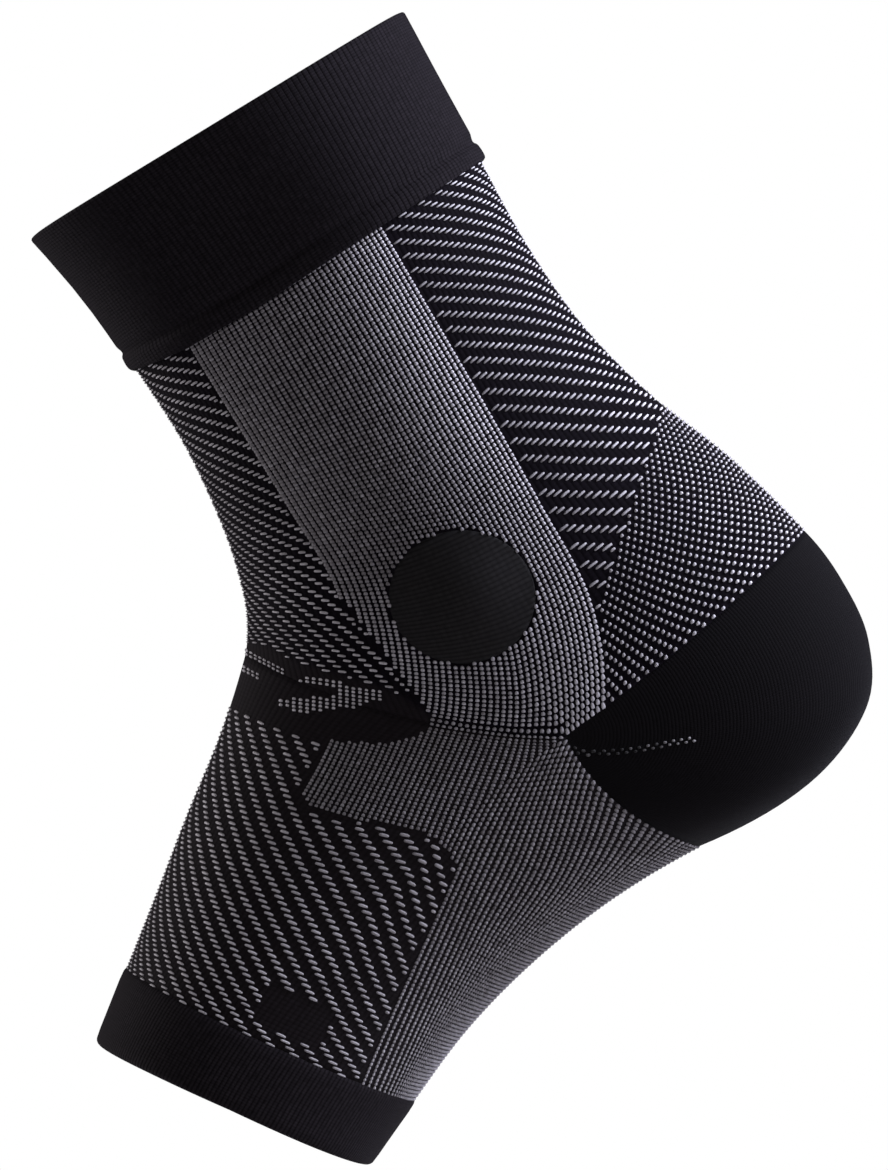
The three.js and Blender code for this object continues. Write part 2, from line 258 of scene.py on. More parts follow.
class SmoothRun:
    """A smooth curve through stations, each holding a table of values."""

    def __init__(self, stations, tables):
        self.stations = np.array(stations, float)
        self.tables = np.array(tables, float)
        self.slopes = np.gradient(self.tables, self.stations, axis=0, edge_order=2)

    def at(self, place, column):
        """Values at a place between the stations and a fractional column of their tables."""
        place, column = np.broadcast_arrays(np.asarray(place, float), np.asarray(column, float))
        i = np.clip(np.searchsorted(self.stations, place) - 1, 0, len(self.stations) - 2)
        span = self.stations[i + 1] - self.stations[i]
        t = (place - self.stations[i]) / span
        k = np.floor(column).astype(int)
        w = column - k
        count = self.tables.shape[1]

        def pick(tables, row):
            low, high = tables[row, k % count], tables[row, (k + 1) % count]
            share = w if low.ndim == w.ndim else w[..., None]
            return low * (1 - share) + high * share

        if self.tables.ndim == 3:
            t, span = t[..., None], span[..., None]
        ends = [pick(tables, row) for row in (i, i + 1) for tables in (self.tables, self.slopes)]
        return cubic(t, span, *ends)


class Section:
    """The outer face of one knitted section. at runs along it, turn runs round it in quarter turns."""

    NORMAL_AT, NORMAL_TURN, PACE_AT = 0.003, 0.01, 0.01  # steps over which slopes are taken

    def __init__(self, courses):
        self.run = SmoothRun([c.at for c in courses], [ring(c) for c in courses])

    def face(self, at, turn):
        points = self.run.at(at, np.asarray(turn) % 4 * RING_STEPS)
        away = np.hypot(points[..., 0], points[..., 2]) / ANKLE_BONE_REACH
        points[..., 1] += np.sign(points[..., 1]) * ANKLE_BONE_HEIGHT * np.exp(-away ** 2)
        return points

    def normal(self, at, turn):
        along = self.face(at + self.NORMAL_AT, turn) - self.face(at - self.NORMAL_AT, turn)
        around = self.face(at, turn + self.NORMAL_TURN) - self.face(at, turn - self.NORMAL_TURN)
        return unit(np.cross(along, around))

    def knit_point(self, at, turn, shift, offset):
        """A point held off the face by offset, moved along its wale by shift."""
        pace = self.face(at + self.PACE_AT, turn) - self.face(at - self.PACE_AT, turn)
        place = at + shift * 2 * self.PACE_AT / np.linalg.norm(pace, axis=-1)
        return self.face(place, turn) + self.normal(place, turn) * np.asarray(offset)[..., None]


def unit(vectors):
    return vectors / np.maximum(np.linalg.norm(vectors, axis=-1, keepdims=True), 1e-9)


def monotone_curve(knots, values, x):
    """A smooth rising curve through a few knots."""
    knots, values = np.array(knots, float), np.array(values, float)
    step = np.diff(knots)
    rate = np.diff(values) / step
    inner = 3 * (step[:-1] + step[1:]) / (
        (2 * step[1:] + step[:-1]) / rate[:-1] + (step[1:] + 2 * step[:-1]) / rate[1:]
    )
    slope = np.r_[rate[0], inner, rate[-1]]
    i = np.clip(np.searchsorted(knots, x) - 1, 0, len(step) - 1)
    t = (x - knots[i]) / step[i]
    return cubic(t, step[i], values[i], slope[i], values[i + 1], slope[i + 1])


class WaleMap:
    """Where each wale runs round a section. The rows give its outer half, and the inner half is alike."""

    def __init__(self, wales, knots, rows):
        self.wales = wales
        half = np.arange(0, wales // 2 + 1)
        tables = [monotone_curve(knots, turns, half) for _, turns in rows]
        self.run = SmoothRun([at for at, _ in rows], [np.r_[t, 4 - t[-2::-1]] for t in tables])

    def turn(self, wale, at):
        around = np.floor(wale / self.wales)
        return self.run.at(at, wale - around * self.wales) + 4 * around


LEG = Section(LEG_COURSES)
HEEL = Section(HEEL_COURSES)
FOOT = Section(FOOT_COURSES)
LEG_MAP = WaleMap(LEG_WALES, LEG_WALE_KNOTS, LEG_WALE_TURNS)
FOOT_MAP = WaleMap(FOOT_WALES, FOOT_WALE_KNOTS, FOOT_WALE_TURNS)


class WaleLengths:
    """How far along a section each share of a wale's length lies, for wales all round it."""

    COLUMNS = 128
    PLACES = np.linspace(-0.12, 1.12, 249)
    SHARES = np.linspace(-0.1, 1.1, 241)

    def __init__(self, section):
        turns = np.linspace(0, 4, self.COLUMNS + 1)
        points = section.face(*np.meshgrid(self.PLACES, turns))
        steps = np.linalg.norm(np.diff(points, axis=1), axis=2)
        length = np.concatenate([np.zeros((len(turns), 1)), np.cumsum(steps, axis=1)], axis=1)
        self.table = []
        for row in length:
            start, end = np.interp((0, 1), self.PLACES, row)
            self.table.append(np.interp(self.SHARES, (row - start) / (end - start), self.PLACES))
        self.table = np.array(self.table)

    def at(self, share, turn):
        column = turn % 4 * self.COLUMNS / 4
        k = np.clip(np.floor(column).astype(int), 0, self.COLUMNS - 1)
        w = column - k
        row = (share - self.SHARES[0]) / (self.SHARES[1] - self.SHARES[0])
        row = np.clip(row, 0, len(self.SHARES) - 1.001)
        i = np.floor(row).astype(int)
        v = row - i
        low = self.table[k, i] * (1 - v) + self.table[k, i + 1] * v
        high = self.table[k + 1, i] * (1 - v) + self.table[k + 1, i + 1] * v
        return low * (1 - w) + high * w


LEG_LENGTHS = WaleLengths(LEG)


def turn_from_front(turn):
    """Quarter turns from the middle of the front, by the shorter way round."""
    return np.minimum(turn % 4, 4 - turn % 4)


def leg_place(wale, course):
    """Courses lie closer under the cuff, crowd at the front crease and rise toward the back."""
    wale = np.asarray(wale, float)
    share = np.asarray(course, float) / LEG_STITCH_COURSES
    turn = LEG_MAP.turn(wale, CROWDING_COURSE)
    from_shin = turn_from_front(turn)
    back = np.clip((from_shin - BACK_RISE_FROM) / (2 - BACK_RISE_FROM), 0, 1)
    crowding = SHIN_CROWDING * np.maximum(1 - from_shin, 0) ** 2 - CUFF_CROWDING
    at = LEG_LENGTHS.at(share * (1 + crowding) - crowding * share ** 2, turn)
    at = at - BACK_RISE * back * share * np.maximum(BACK_RISE_END - share, 0)
    return at, LEG_MAP.turn(wale, at)


def foot_place(wale, course):
    at = np.asarray(course, float) / FOOT_STITCH_COURSES
    return at, FOOT_MAP.turn(wale, at)


def rise(value, start, end):
    """Eases from nought at start to one at end."""
    share = np.clip((value - start) / (end - start), 0, 1)
    return share * share * (3 - 2 * share)


def from_front(wale, wales):
    """A wale counted from the middle of the front, to the inner side as a minus."""
    wale = np.asarray(wale, float)
    return np.where(wale > wales / 2, wale - wales, wale)


def rear_place(wale, course):
    """The rear panel's own wales, counted from the outer strap's back edge."""
    span = (LEG_WALES - 2 * STRAP_BACK) / REAR_WALES
    return leg_place(STRAP_BACK + np.asarray(wale, float) * span, course)


def front_squeeze(course):
    return 1 - FRONT_SQUEEZE * rise(np.asarray(course, float), *FRONT_SQUEEZE_COURSES)


def front_place(wale, course):
    """The front panel's own wales, drawn together down the shin, and its courses, which open out."""
    course = np.asarray(course, float)
    opened = course + FRONT_OPENING * course * abs(course)
    return leg_place(from_front(wale, LEG_WALES) * front_squeeze(course), opened)


def instep_at(course):
    share = np.asarray(course, float) / INSTEP_COURSES
    return share * (1 + INSTEP_CROWDING) - INSTEP_CROWDING * share ** 2


def instep_squeeze(course):
    return 1 - INSTEP_SQUEEZE * rise(instep_at(course), *INSTEP_SQUEEZE_SPAN)


def instep_place(wale, course):
    """The instep panel's own wales, drawn together toward the toes."""
    at = instep_at(course)
    return at, FOOT_MAP.turn(from_front(wale, FOOT_WALES) * instep_squeeze(course), at)


def in_picture(points):
    """Millimetres right and up of the ankle in the picture, with the inner side read as the outer."""
    x = points[..., 0] - VIEW_CENTRE[0]
    z = points[..., 2] - VIEW_CENTRE[1]
    scale = VIEW_DISTANCE / (VIEW_DISTANCE - np.abs(points[..., 1]))
    right = scale * (x * math.cos(VIEW_ROLL) - z * math.sin(VIEW_ROLL)) + ANKLE_IN_PICTURE[0]
    up = scale * (x * math.sin(VIEW_ROLL) + z * math.cos(VIEW_ROLL)) + ANKLE_IN_PICTURE[1]
    return right, up


def edge(line, x):
    line = np.array(line)
    return np.interp(x, line[:, 0], line[:, 1])


# Meshes

def new_piece(name, points, faces, material, stands_for=None):
    mesh = bpy.data.meshes.new(name)
    mesh.from_pydata((np.asarray(points) * MM).tolist(), [], faces)
    mesh.shade_smooth()
    mesh.materials.append(material)
    piece = bpy.data.objects.new(name, mesh)
    bpy.context.collection.objects.link(piece)
    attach(piece, "root")
    if stands_for:
        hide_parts(stands_for)
    return piece


def set_uv(piece, name, vertex_uv):
    mesh = piece.data
    layer = mesh.uv_layers.new(name=name)
    index = np.empty(len(mesh.loops), int)
    mesh.loops.foreach_get("vertex_index", index)
    layer.data.foreach_set("uv", np.asarray(vertex_uv, float)[index].ravel())


def set_tone(piece, tone):
    layer = piece.data.attributes.new("tone", "FLOAT", "POINT")
    layer.data.foreach_set("value", np.asarray(tone, float))


def skin_faces(count, outline, closed):
    """Faces over a run of equal closed outlines, as vertex indices, with caps on an open run."""
    corners = np.arange(count * outline).reshape(count, outline)
    following = np.roll(corners, -1, axis=0)
    quads = np.stack(
        [corners, np.roll(corners, -1, axis=1), np.roll(following, -1, axis=1), following], axis=-1
    )
    if closed:
        return quads.reshape(-1, 4).tolist()
    return quads[:-1].reshape(-1, 4).tolist() + [corners[0, ::-1].tolist(), corners[-1].tolist()]


def smooth_profile(profile):
    """Cuts off the corners of a closed profile."""
    points = np.array(profile, float)
    following = np.roll(points, -1, axis=0)
    shares = np.array([CORNER_CUT, 1 - CORNER_CUT])[:, None]
    return (points[:, None] * (1 - shares) + following[:, None] * shares).reshape(-1, 2)


def wall_outline(rows):
    """Shares along a section and offsets of a thin wall's closed outline, finer on its outer face."""
    inner_rows = rows // OUTER_ROWS_PER_INNER
    shares = np.r_[np.linspace(0, 1, rows), np.linspace(1, 0, inner_rows)]
    return shares, np.r_[np.zeros(rows), np.full(inner_rows, -WALL)]


def knit_wall(name, section, turns, rows, closed, first_lap, wales, courses, material, stands_for):
    """A wall that runs a little way under its neighbours, as one knit does."""
    shares, offsets = wall_outline(rows)
    at, turn = np.meshgrid(shares, turns)
    lap = np.where(at == 1, SEAM_LAP, np.where(at == 0, -first_lap, 0.0))
    points = section.knit_point(at, turn, lap, np.broadcast_to(offsets, at.shape))
    faces = skin_faces(len(turns), len(shares), closed)
    piece = new_piece(name, points.reshape(-1, 3), faces, material, stands_for)
    set_uv(piece, "Knit", np.stack([turn * wales / 4, at * courses], -1).reshape(-1, 2))
    return piece


def welt(name, section, at, direction, profile, ribs, depth, drop, material, stands_for):
    """A turned welt all the way round, its outer face in fine ribs."""
    profile = smooth_profile(profile)
    turns = np.arange(ribs * 4) / ribs
    rib = depth * np.cos(2 * math.pi * turns * ribs / 4)
    distance, turn = np.meshgrid(profile[:, 0], turns)
    hang = edge(drop, turn_from_front(turn))
    distance = distance - hang * np.clip(1 - distance / HEM_DROP_REACH, 0, 1)
    raised = np.clip((profile[:, 1] - RIB_FADE_START) / RIB_FADE, 0, 1)
    offset = profile[:, 1] + rib[:, None] * raised
    points = section.knit_point(np.full_like(turn, at), turn, direction * distance, offset)
    faces = [face[::direction] for face in skin_faces(len(turns), len(profile), True)]
    piece = new_piece(name, points.reshape(-1, 3), faces, material, stands_for)
    set_uv(piece, "Knit", np.stack([turn * ribs / 4, distance / WELT_COURSE], -1).reshape(-1, 2))
    return piece


def cut(piece, operation, name, clearance):
    """Keeps or removes the part of a wall under the ankle patch named, or under both with no name."""
    plugs = [patch_plug(sense, clearance) for sense in (-1, 1)]
    for plug in plugs:
        if name in plug.name:
            modifier = piece.modifiers.new("patch", "BOOLEAN")
            modifier.object = plug
            modifier.operation = operation
            modifier.solver = "EXACT"
    graph = bpy.context.evaluated_depsgraph_get()
    mesh = bpy.data.meshes.new_from_object(piece.evaluated_get(graph))
    piece.modifiers.clear()
    piece.data = mesh
    for plug in plugs:
        bpy.data.objects.remove(plug)


def patch_plug(sense, clearance):
    """An oval plug through the wall at one ankle bone."""
    angle = np.linspace(0, 2 * math.pi, PATCH_SIDES, endpoint=False)
    a = (PATCH_LENGTH / 2 - clearance) * np.cos(angle)
    b = (PATCH_HEIGHT / 2 - clearance) * np.sin(angle)
    x = a * math.cos(PATCH_TILT) + b * math.sin(PATCH_TILT)
    z = -a * math.sin(PATCH_TILT) + b * math.cos(PATCH_TILT)
    near = np.column_stack([x, np.full_like(x, sense * PLUG_START), z])
    far = np.column_stack([x, np.full_like(x, sense * (PLUG_START + PLUG_REACH)), z])
    mesh = bpy.data.meshes.new("plug")
    mesh.from_pydata((np.concatenate([near, far]) * MM).tolist(), [], skin_faces(2, PATCH_SIDES, False))
    if sense > 0:
        mesh.flip_normals()
    plug = bpy.data.objects.new("plug_lateral" if sense < 0 else "plug_medial", mesh)
    bpy.context.collection.objects.link(plug)
    return plug


# Stitches

# Stations along a loop, and its corners at each: beside it and above it
LOOP_STATIONS = np.array([-1.0, -0.62, 0.0, 0.62, 1.0])
FLOAT_STATIONS = np.array([-1.0, -0.84, -0.42, 0.0, 0.42, 0.84, 1.0])
LOOP_SIDE = np.array([-1, 0, 1, 0])
LOOP_TOP = np.array([0, 1, 0, -1])

# How much loops differ, in shares of their size, in millimetres and in tone, how they bend, and their cells
LENGTH_SPREAD, WIDTH_SPREAD, PLACE_SPREAD, TONE_SPREAD = 0.03, 0.04, 0.03, 0.07
JITTER_ACROSS = 0.6
SQUARING = 0.6
WAIST_REACH = 0.25
END_TAPER = 0.86
ARCH = 0.55
VEE_MIDDLE = 0.35
END_SINK = 0.35
CELL_MARGIN, CELL_SIDE, CELL_END = 0.1, 0.3, 0.02


def stitch_frames(section, place_of, wale, course):
    """Where each stitch sits: its place, one wale's step, one course's step and the outward normal."""
    step = section.face(*place_of(wale + 0.5, course)) - section.face(*place_of(wale - 0.5, course))
    pace = section.face(*place_of(wale, course + 0.5)) - section.face(*place_of(wale, course - 0.5))
    at, turn = place_of(wale, course)
    return section.face(at, turn), step, pace, section.normal(at, turn)


def loop_points(frames, shape, stations):
    """Points of every loop: four round each inner station, then its two ends."""
    place, step, pace, normal = frames
    count = len(place)
    across, along = unit(step), unit(pace)
    along = unit(along - across * np.sum(across * along, axis=1, keepdims=True) * SQUARING)
    length = shape["length"] * np.linalg.norm(step, axis=1) * rng.normal(1, LENGTH_SPREAD, count)
    width = shape["width"] * np.linalg.norm(pace, axis=1) * rng.normal(1, WIDTH_SPREAD, count)
    jitter = rng.normal(0, PLACE_SPREAD, (count, 2))
    place = place + across * jitter[:, :1] * JITTER_ACROSS + along * jitter[:, 1:]
    reach, side = across * (length / 2)[:, None], along * (width / 2)[:, None]
    lift, height, vee = shape["lift"], shape["height"], shape["vee"]

    inner = stations[1:-1]
    body = 1 - shape["waist"] * np.exp(-(inner / WAIST_REACH) ** 2)
    body = body * np.sqrt(1 - (END_TAPER * inner) ** 2)
    points = []
    for s, fat in zip(inner, body):
        bend, stand = vee * (s * s - VEE_MIDDLE), lift * (1 - ARCH * s * s)
        centre = place + reach * s + side * bend + normal * stand
        for a, b in zip(LOOP_SIDE, LOOP_TOP):
            points.append(centre + side * (a * fat) + normal * (b * fat * height))
    for s in (stations[0], stations[-1]):
        points.append(place + reach * s + side * (vee * (1 - VEE_MIDDLE)) - normal * (END_SINK * height))
    return np.stack(points, axis=1)


def loop_faces(rings):
    """Triangles of one loop, with four corners to a ring and a point at each end."""
    faces = []
    for r in range(rings - 1):
        for k in range(4):
            m = (k + 1) % 4
            faces.append((4 * r + k, 4 * r + m, 4 * r + 4 + m))
            faces.append((4 * r + k, 4 * r + 4 + m, 4 * r + 4 + k))
    first, last = 4 * rings, 4 * rings + 1
    for k in range(4):
        m = (k + 1) % 4
        faces.append((first, m, k))
        faces.append((last, 4 * (rings - 1) + k, 4 * (rings - 1) + m))
    return np.array(faces)


def loop_uv(count, inner):
    """A square cell of the texture for every loop."""
    cells = math.ceil(math.sqrt(count))
    cell = np.stack([np.arange(count) % cells, np.arange(count) // cells], -1)
    rings = [[(s + 1) / 2, 0.5 + CELL_SIDE * a] for s in inner for a in LOOP_SIDE]
    ends = [[CELL_END, 0.5], [1 - CELL_END, 0.5]]
    within = CELL_MARGIN + (1 - 2 * CELL_MARGIN) * np.array(rings + ends)
    return (cell[:, None] + within) / cells


def yarn_loops(name, frames, shape, tone, material):
    """Short loops of yarn lying along the courses: their ends dive into the knit."""
    stations = FLOAT_STATIONS if shape["waist"] else LOOP_STATIONS
    points = loop_points(frames, shape, stations)
    count, corners = points.shape[:2]
    inner = stations[1:-1]
    faces = loop_faces(len(inner))[None] + np.arange(count)[:, None, None] * corners
    piece = new_piece(name, points.reshape(-1, 3), faces.reshape(-1, 3).tolist(), material)
    set_uv(piece, "OFBake", loop_uv(count, inner).reshape(-1, 2))
    shade = np.clip(tone + rng.normal(0, TONE_SPREAD, count), 0, 1)
    set_tone(piece, np.repeat(shade, corners))
    return piece


def join_frames(*several):
    return tuple(np.concatenate(parts) for parts in zip(*several))


LEG_GRID = slice(-COURSES_UNDER_CUFF, LEG_STITCH_COURSES)
FRONT_GRID = slice(-COURSES_UNDER_CUFF, FRONT_STITCH_COURSES)
FOOT_GRID = slice(0, FOOT_STITCH_COURSES)
INSTEP_GRID = slice(0, INSTEP_COURSES)
Grid = namedtuple("Grid", "wale course middle points right up")


def stitch_grid(section, place_of, wales, courses):
    """Every stitch of a section: wale, course, count from the front and place in the picture."""
    course, wale = np.mgrid[courses, 0:wales]
    points = section.face(*place_of(wale + 0.5, course + 0.5))
    middle = np.minimum(wale + 0.5, wales - wale - 0.5)
    return Grid(wale, course, middle, points, *in_picture(points))


def float_frames(section, place_of, zone, courses):
    """Floats over two wales in a two and two twill, cut to single stitches where the panel ends."""
    course, wale = np.mgrid[courses, 0:zone.shape[1]]
    start = (wale - course) % 4 == 0
    first, second = start & zone, start & np.roll(zone, -1, axis=1)
    cuts = ((first & second, 1.0, 2), (first & ~second, 0.5, 1), (second & ~first, 1.5, 1))
    frames = []
    for mask, centre, span in cuts:
        middle = (wale[mask] + centre, course[mask] + 0.5)
        place, step, pace, normal = stitch_frames(section, place_of, *middle)
        frames.append((place, step * span, pace, normal))
    return join_frames(*frames)


LEVEL_FACING = (0.1, 0.3)
LEVEL_LIMIT = 1.5
LEVEL_STEP = 0.1
LEVEL_LEAST = 1e-4


def level(frames, steepest):
    """Turns floats that fall too steeply in the picture until they fall no more than steepest."""
    place, step, pace, normal = frames
    here = np.array(in_picture(place))
    step_right, step_up = np.array(in_picture(place + step * LEVEL_STEP)) - here
    pace_right, pace_up = np.array(in_picture(place + pace * LEVEL_STEP)) - here
    slope = step_up / np.where(np.abs(step_right) < LEVEL_LEAST, LEVEL_LEAST, step_right)
    turn = (steepest * step_right - step_up) / (pace_up - steepest * pace_right)
    facing = rise(np.abs(normal[:, 1]), *LEVEL_FACING)
    turn = np.where(slope < steepest, np.clip(turn, -LEVEL_LIMIT, LEVEL_LIMIT), 0) * facing
    return place, step + pace * turn[:, None], pace, normal


def dot_frames():
    """Single stitches in a chequer over the Achilles, knitted finer than the straps."""
    span = (LEG_WALES - 2 * STRAP_BACK) / DOT_WALES
    course, column = np.mgrid[LEG_GRID, 0:DOT_WALES]
    wale = STRAP_BACK + (column + 0.5) * span
    right, up = in_picture(LEG.face(*leg_place(wale, course + 0.5)))
    chosen = (right > edge(DOTS_EDGE, up)) & ((column + course) % 2 == 0)
    place, step, pace, normal = stitch_frames(LEG, leg_place, wale[chosen], course[chosen] + 0.5)
    return place, step * span, pace, normal


def gore_frames():
    """A short row of stitches along the heel's gore, on both flanks."""
    turn = np.arange(HEEL_GORE[0][0], HEEL_GORE[-1][0], GORE_STITCH)
    at = edge(HEEL_GORE, turn)
    frames = []
    for side_turn, sense in ((turn, 1), (4 - turn, -1)):
        place, normal = HEEL.face(at, side_turn), HEEL.normal(at, side_turn)
        ahead = sense * GORE_STITCH
        step = HEEL.face(edge(HEEL_GORE, turn + GORE_STITCH), side_turn + ahead) - place
        pace = np.cross(normal, step)
        zigzag = np.where(np.arange(len(turn)) % 2 == 0, GORE_ROW, -GORE_ROW)
        frames.append((place + unit(pace) * zigzag[:, None], step, pace, normal))
    share = (turn - turn[0]) / (turn[-1] - turn[0])
    return join_frames(*frames), np.r_[share, share]


def on_patch(points):
    x, z = points[..., 0], points[..., 2]
    a = x * math.cos(PATCH_TILT) - z * math.sin(PATCH_TILT)
    b = x * math.sin(PATCH_TILT) + z * math.cos(PATCH_TILT)
    return (a / (PATCH_LENGTH / 2)) ** 2 + (b / (PATCH_HEIGHT / 2)) ** 2 < 1


def strap_step(up):
    """Where the strap's front edge steps in above the flex panel, and far to the left elsewhere."""
    return np.where(up < STRAP_STEP_TOP, edge(STRAP_STEP, up), -np.inf)


def above_flex_end(grid):
    return (grid.up > edge(FLEX_END, grid.right)) & (grid.right < FLEX_BACK)


def strap_zone():
    grid = stitch_grid(LEG, leg_place, LEG_WALES, LEG_GRID)
    strap = (grid.middle > STRAP_FRONT) & (grid.middle < STRAP_BACK)
    return grid, strap & (grid.right > strap_step(grid.up)) & ~on_patch(grid.points)


def rear_zone():
    course, wale = np.mgrid[LEG_GRID, 0:REAR_WALES + 1]
    right, up = in_picture(LEG.face(*rear_place(wale + 0.5, course + 0.5)))
    return (wale < REAR_WALES) & (right < edge(DOTS_EDGE, up))


def front_zone():
    grid = stitch_grid(LEG, front_place, LEG_WALES, FRONT_GRID)
    middle = grid.middle * front_squeeze(grid.course + 0.5)
    beside_step = grid.right < strap_step(grid.up) - STRAP_STEP_MARGIN
    panel = (middle < FRONT_BACK) & ((middle < STRAP_FRONT) | beside_step)
    flex = (grid.up < edge(FLEX_TOP, grid.right)) & (grid.right < FLEX_BACK)
    return panel & ~flex


def rib_zone():
    grid = stitch_grid(FOOT, foot_place, FOOT_WALES, FOOT_GRID)
    tongue = (grid.middle > TONGUE_FRONT) & (grid.middle < INSTEP_EDGE)
    tongue &= ~above_flex_end(grid) & (grid.up > edge(TONGUE_END, grid.right))
    return grid, (grid.middle > INSTEP_EDGE) | tongue


def instep_zone():
    grid = stitch_grid(FOOT, instep_place, FOOT_WALES, INSTEP_GRID)
    middle = grid.middle * instep_squeeze(grid.course + 0.5)
    at = instep_at(grid.course + 0.5)
    beside_tongue = middle > TONGUE_FRONT - TONGUE_MARGIN_WALES
    beside_tongue &= grid.up > edge(TONGUE_END, grid.right) - TONGUE_MARGIN
    bare = (middle > BARE_WALES[0]) & (middle < BARE_WALES[1]) & (grid.wale < FOOT_WALES / 2)
    bare &= (at > BARE_COURSES[0]) & (at < BARE_COURSES[1])
    return (middle < INSTEP_EDGE - INSTEP_MARGIN) & ~above_flex_end(grid) & ~beside_tongue & ~bare


# Darts

Found = namedtuple("Found", "section at turn d_at d_turn slopes miss")
SEARCH_STARTS = ((LEG, 0.9), (FOOT, 0.12))
SEARCH_TURN, SEARCH_TURNS, SEARCH_SPAN = 0.45, (0.02, 1.2), (-0.2, 1.2)
SEARCH_ROUNDS, SEARCH_LIMIT, SEARCH_MISS = 25, 0.1, 0.05
AT_STEP, TURN_STEP, SLOPE_STEP = 0.002, 0.004, 1e-3


def picture_place(section, start, right, up):
    """The place on a section's outer half that shows at a point of the picture, with its slopes there."""
    at, turn = np.full(right.shape, start), np.full(right.shape, SEARCH_TURN)
    for _ in range(SEARCH_ROUNDS):
        here = section.face(at, turn)
        d_at = (section.face(at + AT_STEP, turn) - section.face(at - AT_STEP, turn)) / (2 * AT_STEP)
        d_turn = (section.face(at, turn + TURN_STEP) - section.face(at, turn - TURN_STEP)) / (2 * TURN_STEP)
        r, u = in_picture(here)
        ra, ua = (np.array(in_picture(here + d_at * SLOPE_STEP)) - (r, u)) / SLOPE_STEP
        rt, ut = (np.array(in_picture(here + d_turn * SLOPE_STEP)) - (r, u)) / SLOPE_STEP
        det = ra * ut - rt * ua
        det = np.where(np.abs(det) < 1, 1, det)
        at_move = ((right - r) * ut - (up - u) * rt) / det
        turn_move = ((up - u) * ra - (right - r) * ua) / det
        at = np.clip(at + np.clip(at_move, -SEARCH_LIMIT, SEARCH_LIMIT), *SEARCH_SPAN)
        turn = np.clip(turn + np.clip(turn_move, -SEARCH_LIMIT, SEARCH_LIMIT), *SEARCH_TURNS)
    return Found(section, at, turn, d_at, d_turn, (ra, ua, rt, ut, det), np.hypot(right - r, up - u))


def flank_frames(found, step, pace):
    """Stitches at the places found on the outer flank, and their mirror images on the inner one."""
    ra, ua, rt, ut, det = found.slopes
    vectors = []
    for right_step, up_step in (step, pace):
        a = (right_step * ut - up_step * rt) / det
        t = (up_step * ra - right_step * ua) / det
        vectors.append(found.d_at * a[:, None] + found.d_turn * t[:, None])
    mirror = np.array([1, -1, 1])
    inner_step, inner_pace = -vectors[0] * mirror, vectors[1] * mirror
    flanks = ((found.turn, *vectors), (4 - found.turn, inner_step, inner_pace))
    return [
        (found.section.face(found.at, turn), across, along, found.section.normal(found.at, turn))
        for turn, across, along in flanks
    ]


def lattice_frames(right, up, step, pace):
    """Stitches on a lattice of the picture, wherever it meets the leg or the foot, on both flanks."""
    leg_found, foot_found = [picture_place(*start, right, up) for start in SEARCH_STARTS]
    on_leg = (leg_found.miss < SEARCH_MISS) & (leg_found.at <= 1.0)
    past_leg = (leg_found.at > 1.0) | (leg_found.miss >= SEARCH_MISS)
    on_foot = (foot_found.miss < SEARCH_MISS) & (foot_found.at > 0) & past_leg
    frames = []
    for found, good in ((leg_found, on_leg), (foot_found, on_foot)):
        for flank in flank_frames(found, step, pace):
            frames.append(tuple(part[good] for part in flank))
    return join_frames(*frames)


def between(top, bottom, right, up):
    """Whether points of the picture lie between two lines of the same reach."""
    inside = (right > top[0][0]) & (right < top[-1][0])
    return inside & (up < edge(top, right)) & (up > edge(bottom, right))


def dart_frames():
    """Two plain tapering darts in the black flex panel."""
    row, column = np.mgrid[DART_ROWS, DART_COLUMNS]
    right = DART_ORIGIN[0] + column * DART_STITCH
    up = DART_ORIGIN[1] - row * DART_ROW - column * DART_STITCH * math.tan(DART_SLOPE)
    chosen = between(UPPER_DART_TOP, UPPER_DART_END, right, up)
    chosen |= between(LOWER_DART_TOP, LOWER_DART_END, right, up)
    step = (DART_STITCH * math.cos(DART_SLOPE), -DART_STITCH * math.sin(DART_SLOPE))
    return lattice_frames(right[chosen], up[chosen], step, (0.0, -DART_ROW))


def shin_line_frames():
    """Two thin double lines of stitches at the front of the flex panel."""
    frames = []
    for start, end in SHIN_LINES:
        x = np.arange(start[0], end[0], SHIN_STITCH)
        middle = edge([start, end], x)
        slope = (end[1] - start[1]) / (end[0] - start[0])
        for row_up in (SHIN_ROW / 2, -SHIN_ROW / 2):
            step = (SHIN_STITCH, SHIN_STITCH * slope)
            frames.append(lattice_frames(x, middle + row_up, step, (0.0, -SHIN_ROW)))
    return join_frames(*frames)


# Materials

KNIT_SHEEN_TINT = (0.82, 0.84, 1.0, 1)
KNIT_SHEEN_ROUGHNESS = 0.45
KNIT_RELIEF = 0.00035
FLECK_SCALE, FLECK_DETAIL = 900, 3
ROUGHNESS_SPREAD = 0.08
YARN_ROUGHNESS, YARN_GLOSS, YARN_SHEEN_ROUGHNESS = 0.8, 0.25, 0.4
FIBRE_SCALE, FIBRE_DETAIL = 2600, 2
FIBRE_SHARE = 0.5
FIBRE_BUMP, FIBRE_RELIEF = 0.4, 0.0001


def new_material(name):
    material = bpy.data.materials.new(name)
    material.use_nodes = True
    return material, material.node_tree, material.node_tree.nodes["Principled BSDF"]


def math_node(tree, operation, *values):
    """The result of a math node on sockets and constants."""
    node = tree.nodes.new("ShaderNodeMath")
    node.operation = operation
    for socket, value in zip(node.inputs, values):
        if isinstance(value, bpy.types.NodeSocket):
            tree.links.new(value, socket)
        else:
            socket.default_value = value
    return node.outputs[0]


def colour_mix(tree, share, first, second):
    mix = tree.nodes.new("ShaderNodeMix")
    mix.data_type = "RGBA"
    mix.inputs["A"].default_value = (*first, 1)
    mix.inputs["B"].default_value = (*second, 1)
    tree.links.new(share, mix.inputs["Factor"])
    return mix.outputs["Result"]


